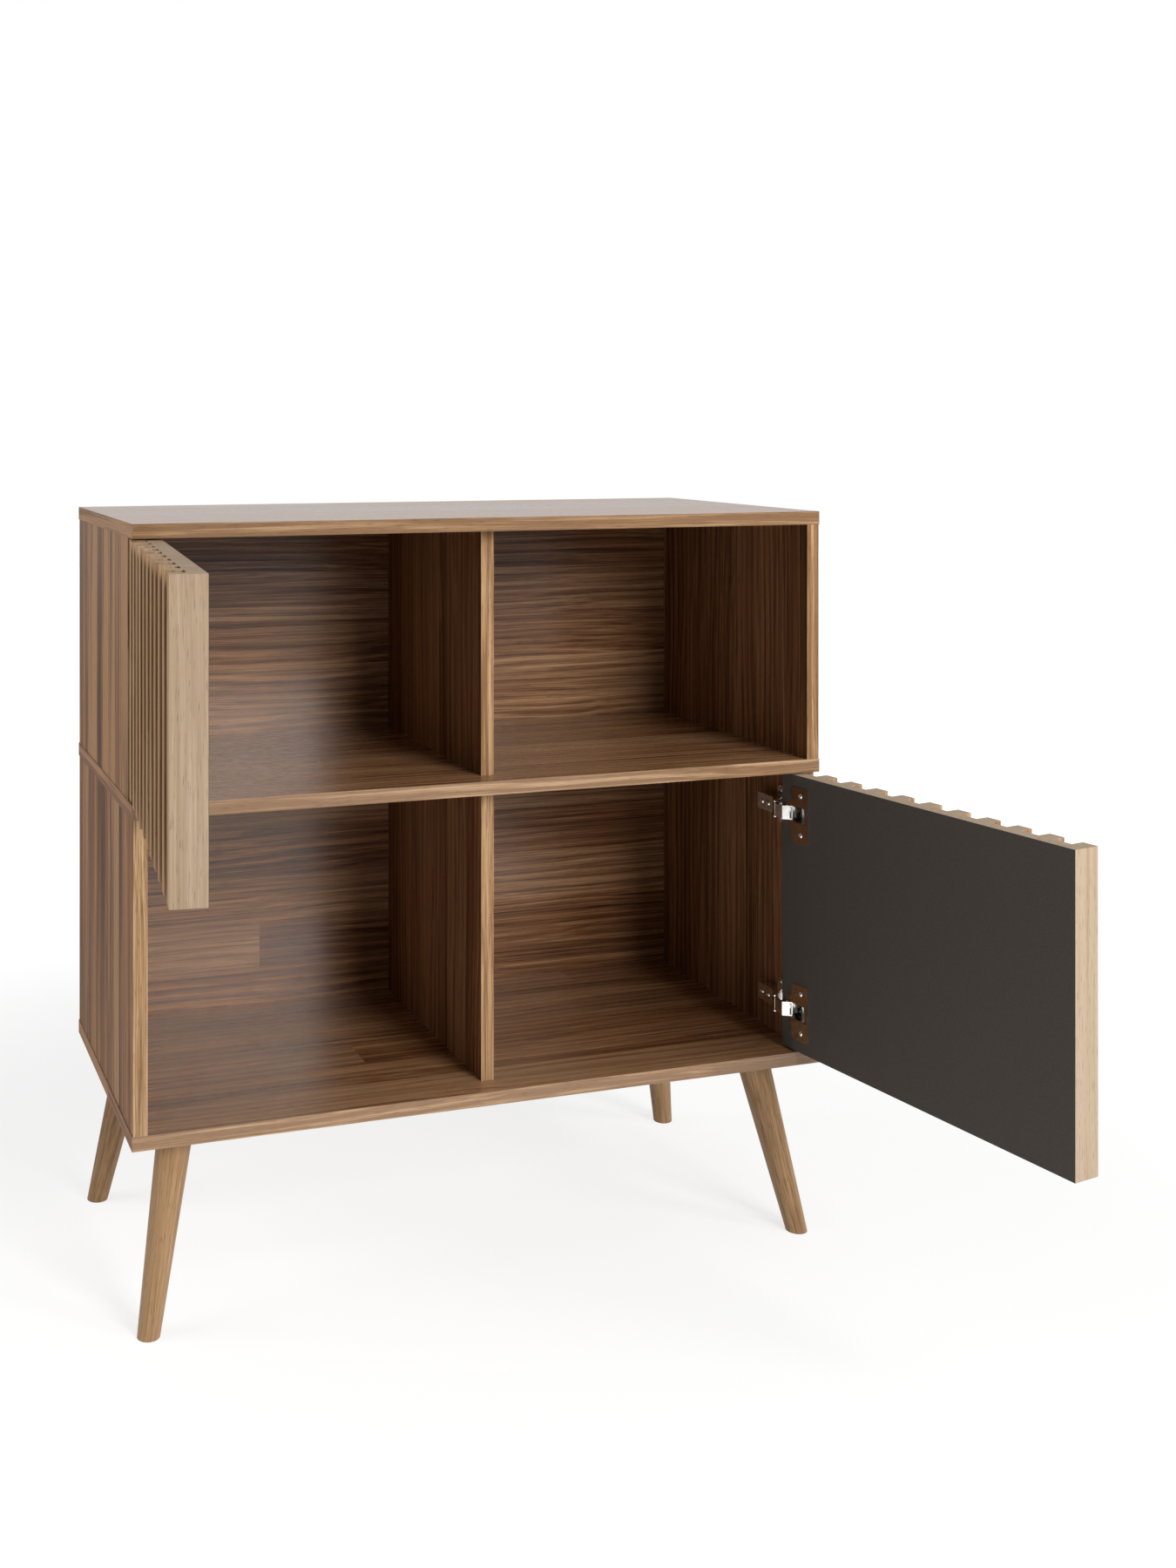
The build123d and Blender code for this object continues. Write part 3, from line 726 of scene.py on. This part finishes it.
def screw_tree():
    """Geometry nodes that set a cross-head screw on every point."""
    tree = bpy.data.node_groups.new("cross_head_screws", "GeometryNodeTree")
    face = tree.interface
    face.new_socket("Geometry", in_out="INPUT", socket_type="NodeSocketGeometry")
    for name in SCREW_INPUTS:
        face.new_socket(name, in_out="INPUT", socket_type="NodeSocketFloat")
    face.new_socket("Turn", in_out="INPUT", socket_type="NodeSocketVector")
    face.new_socket("Finish", in_out="INPUT", socket_type="NodeSocketMaterial")
    face.new_socket("Geometry", in_out="OUTPUT", socket_type="NodeSocketGeometry")
    start = Field(tree)
    given = start.node("NodeGroupInput").socket.node
    sizes = {socket.name: Field(tree, socket) for socket in given.outputs if socket.name}
    radius, height = sizes["Head radius"], sizes["Head height"]
    cut = start.node("GeometryNodeMeshCone", {},
                     {"Vertices": HEAD_SIDES, "Side Segments": HEAD_STEPS, "Radius Bottom": radius,
                      "Radius Top": radius * HEAD_TAPER, "Depth": height}, "Mesh")
    shank = start.node("GeometryNodeMeshCylinder", {},
                       {"Vertices": SHANK_SIDES, "Radius": sizes["Shank radius"],
                        "Depth": sizes["Shank length"]}, "Mesh")
    low = start.node("ShaderNodeCombineXYZ", {}, {2: sizes["Shank length"] * -0.5})
    shank = start.node("GeometryNodeTransform", {}, {"Geometry": shank, "Translation": low})
    # A bar's middle is at the head's top, so it is twice as high as the recess is deep
    arm, width = radius * RECESS_REACH, sizes["Recess width"]
    lift = start.node("ShaderNodeCombineXYZ", {}, {2: height})
    for first, second in ((arm, width), (width, arm)):
        size = start.node("ShaderNodeCombineXYZ", {}, {0: first, 1: second, 2: sizes["Recess depth"] * 2.0})
        bar = start.node("GeometryNodeMeshCube", {}, {"Size": size}, "Mesh")
        bar = start.node("GeometryNodeTransform", {}, {"Geometry": bar, "Translation": lift})
        cut = start.node("GeometryNodeMeshBoolean", {"operation": "DIFFERENCE"},
                         {"Mesh 1": cut, "Mesh 2": bar}, "Mesh")
    joined = start.node("GeometryNodeJoinGeometry", {}, {"Geometry": [shank, cut]})
    spots = start.node("GeometryNodeInstanceOnPoints", {},
                       {"Points": sizes["Geometry"], "Instance": joined, "Rotation": sizes["Turn"]})
    real = start.node("GeometryNodeRealizeInstances", {}, {"Geometry": spots})
    done = start.node("GeometryNodeSetMaterial", {}, {"Geometry": real, "Material": sizes["Finish"]})
    start.node("NodeGroupOutput", {}, {"Geometry": done})
    return tree


def screw_seats(node, axis):
    """The middle of each screw's seat in a group, and the length of its shank, found along its axis."""
    side = axis.cross(UP)
    groups = []
    for vertex in NODES[node].data.vertices:
        flat = Vector((vertex.co.dot(side), vertex.co.z))
        near = [group for group in groups if any((flat - spot).length < SCREW_GAP for spot, point in group)]
        joined = [(flat, vertex.co)] + [entry for group in near for entry in group]
        groups = [group for group in groups if group not in near] + [joined]
    head = bpy.context.scene.storage_metal.head_height
    seats = []
    for group in groups:
        spots = [spot for spot, point in group]
        middle = [(min(values) + max(values)) / 2 for values in zip(*spots)]
        reach = [point.dot(axis) for spot, point in group]
        seats.append(side * middle[0] + UP * middle[1] + axis * (max(reach) - head))
    return seats, max(reach) - min(reach) - head


def screws(name, node, axis, body, tree, finish):
    """Cross-head screws in place of a group of plain ones."""
    metal = bpy.context.scene.storage_metal
    seats, shank = screw_seats(node, axis)
    points = bpy.data.meshes.new(f"{name}_seats")
    points.from_pydata(seats, [], [])
    holder = bpy.data.objects.new(f"{name}_holder", points)
    bpy.context.scene.collection.objects.link(holder)
    modifier = holder.modifiers.new("Screws", "NODES")
    modifier.node_group = tree
    turn = UP.rotation_difference(axis).to_euler()
    values = {"Head radius": metal.head_radius, "Head height": metal.head_height, "Shank length": shank,
              "Shank radius": metal.shank_radius, "Recess width": metal.recess_width,
              "Recess depth": metal.recess_depth, "Turn": tuple(turn), "Finish": finish}
    for item in tree.interface.items_tree:
        if item.in_out == "INPUT" and item.name in values:
            modifier[item.identifier] = values[item.name]
    view = bpy.context.evaluated_depsgraph_get()
    mesh = bpy.data.meshes.new_from_object(holder.evaluated_get(view))
    piece = bpy.data.objects.new(name, mesh)
    bpy.context.scene.collection.objects.link(piece)
    holder.modifiers.remove(modifier)
    bpy.data.objects.remove(holder)
    if not mesh.polygons:
        raise RuntimeError(f"{name} came out empty")
    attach(piece, body)
    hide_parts(node)


class STORAGE_OT_screws(bpy.types.Operator):
    """Set cross-head screws in the hinges' plates, arms and cups"""

    bl_idname = "storage.screws"
    bl_label = "Screws"

    def execute(self, context):
        tree = screw_tree()
        zinc = plating("screw_zinc", context.scene.storage_metal.zinc, SCREW_ROUGHNESS)
        for door, inward in (("upper_door", RIGHT), ("lower_door", -RIGHT)):
            through = door_axes(door)[1]
            screws(f"{door}_cup_cross_screws", f"{door}_cup_screws", -through, door, tree, zinc)
            for kind in ("arm", "plate"):
                name, node = f"{door}_{kind}_cross_screws", f"{door}_{kind}_screws"
                screws(name, node, inward, "carcass", tree, zinc)
        return {"FINISHED"}


def set_camera(stage):
    """A level camera with a shifted lens."""
    camera = bpy.data.cameras.new("camera")
    camera.sensor_fit = "HORIZONTAL"
    camera.sensor_width = SENSOR_WIDTH
    camera.lens = stage.lens
    camera.shift_x = stage.shift_x
    camera.shift_y = stage.shift_y
    holder = bpy.data.objects.new("camera", camera)
    holder.location = stage.eye
    holder.rotation_euler = (pi / 2, 0.0, -stage.yaw)
    bpy.context.scene.collection.objects.link(holder)
    bpy.context.scene.camera = holder


def add_lamp(name, lamp, energy):
    """A soft square light that faces a point."""
    light = bpy.data.lights.new(name, "AREA")
    light.shape = "SQUARE"
    light.size = lamp.size
    light.energy = energy
    holder = bpy.data.objects.new(name, light)
    holder.location = lamp.place
    holder.rotation_euler = (Vector(lamp.target) - Vector(lamp.place)).to_track_quat("-Z", "Y").to_euler()
    bpy.context.scene.collection.objects.link(holder)
    return holder


def set_lights(stage):
    """Three soft lights, and a sheen that only the boards inside the cells receive."""
    key = add_lamp("key_light", KEY_LAMP, stage.key_power)
    key.visible_glossy = False
    sheen = add_lamp("sheen_light", SHEEN_LAMP, stage.sheen_power)
    sheen.visible_diffuse = False
    inside = bpy.data.collections.new("sheen_boards")
    for node in SHEEN_BOARDS:
        inside.objects.link(NODES[node])
    sheen.light_linking.receiver_collection = inside
    add_lamp("side_light", SIDE_LAMP, stage.side_power)
    add_lamp("fill_light", FILL_LAMP, stage.fill_power)


def seen_straight(start):
    """One for what the camera sees, straight on or through glass."""
    camera = start.node("ShaderNodeLightPath", out="Is Camera Ray")
    glass = start.node("ShaderNodeLightPath", out="Is Transmission Ray")
    return camera.maths("MAXIMUM", glass)


def seen_in_gloss(start):
    """One for what a glossy surface reflects."""
    return start.node("ShaderNodeLightPath", out="Is Glossy Ray")


def set_room(stage):
    """White surroundings for the camera, even light for the object, and a dimmer front for reflections."""
    world = bpy.data.worlds.new("white_room")
    world.use_nodes = True
    world.node_tree.nodes.clear()
    start = Field(world.node_tree)
    behind = start.node("ShaderNodeTexCoord", out="Generated").part("Y").smooth(-WALL_BLEND, WALL_BLEND)
    wall = behind * (1.0 - FRONT_WALL) + (FRONT_WALL - stage.sky)
    strength = seen_straight(start) * (1.0 - stage.sky) + seen_in_gloss(start) * wall + stage.sky
    shade = start.node("ShaderNodeBackground", {}, {"Color": WHITE, "Strength": strength})
    start.node("ShaderNodeOutputWorld", {}, {"Surface": shade})
    bpy.context.scene.world = world


def floor_finish(stage):
    """Pale floor that keeps the shadow, grows white further out and, in front of the object, glows for
    reflections only, which paints a reflection into the boards.
    """
    material, start = start_material("floor_white")
    # Its added white depends on the kind of ray, so it is never sampled as a lamp
    material.cycles.emission_sampling = "NONE"
    place = start.node("ShaderNodeTexCoord", out="Object")
    seen = seen_straight(start)
    matt = start.node("ShaderNodeBsdfDiffuse", {}, {"Color": seen.between(FLOOR_GREY, FLOOR_SEEN_GREY)})
    near = place.node("ShaderNodeVectorMath", {"operation": "DISTANCE"},
                      {0: place, 1: SHINE_PLACE}, "Value")
    # A glow that only reflections see, though the floor is no lamp
    shine = seen_in_gloss(start) * (1.0 - near.smooth(SHINE_START, SHINE_END))
    far = place.node("ShaderNodeVectorMath", {"operation": "LENGTH"}, {0: place}, "Value")
    white = far.smooth(FAR_START, FAR_FULL) * FAR_LIFT + stage.floor_lift
    lift = start.node("ShaderNodeEmission", {},
                      {"Color": WHITE, "Strength": seen * white + shine * SHINE_STRENGTH})
    both = start.node("ShaderNodeAddShader", {}, {0: matt, 1: lift})
    start.node("ShaderNodeOutputMaterial", {}, {"Surface": both})
    return material


class STORAGE_OT_stage(bpy.types.Operator):
    """Set the camera, the lights, the pale floor and the white surroundings"""

    bl_idname = "storage.stage"
    bl_label = "Stage"

    def execute(self, context):
        stage = context.scene.storage_stage
        context.scene.view_settings.view_transform = "Standard"
        set_camera(stage)
        set_lights(stage)
        set_room(stage)
        corners = [(x * FLOOR_REACH, y * FLOOR_REACH, 0.0) for x, y in ((-1, -1), (1, -1), (1, 1), (-1, 1))]
        mesh = bpy.data.meshes.new("floor")
        mesh.from_pydata(corners, [], [(0, 1, 2, 3)])
        mesh.materials.append(floor_finish(stage))
        floor = bpy.data.objects.new("floor", mesh)
        context.scene.collection.objects.link(floor)
        return {"FINISHED"}


STEPS = (STORAGE_OT_boards, STORAGE_OT_doors, STORAGE_OT_legs, STORAGE_OT_hinges, STORAGE_OT_joinery,
         STORAGE_OT_screws, STORAGE_OT_stage)
SETTINGS = {"storage_wood": WoodSettings, "storage_metal": MetalSettings, "storage_stage": StageSettings}


class STORAGE_PT_panel(bpy.types.Panel):
    """Steps that dress the storage unit, and the sizes and colours that they use"""

    bl_idname = "STORAGE_PT_panel"
    bl_label = "Storage unit"
    bl_space_type = "VIEW_3D"
    bl_region_type = "UI"
    bl_category = "Storage unit"

    def draw(self, context):
        for step in STEPS:
            self.layout.operator(step.bl_idname)
        for name, kind in SETTINGS.items():
            box = self.layout.box()
            for setting in kind.__annotations__:
                box.prop(getattr(context.scene, name), setting)


def register():
    for kind in (*SETTINGS.values(), *STEPS, STORAGE_PT_panel):
        bpy.utils.register_class(kind)
    for name, kind in SETTINGS.items():
        setattr(bpy.types.Scene, name, PointerProperty(type=kind))


def unregister():
    for name in SETTINGS:
        delattr(bpy.types.Scene, name)
    for kind in (STORAGE_PT_panel, *reversed(STEPS), *SETTINGS.values()):
        bpy.utils.unregister_class(kind)


def main():
    register()
    for step in STEPS:
        group, name = step.bl_idname.split(".")
        getattr(getattr(bpy.ops, group), name)()


if __name__ == "__main__":
    main()
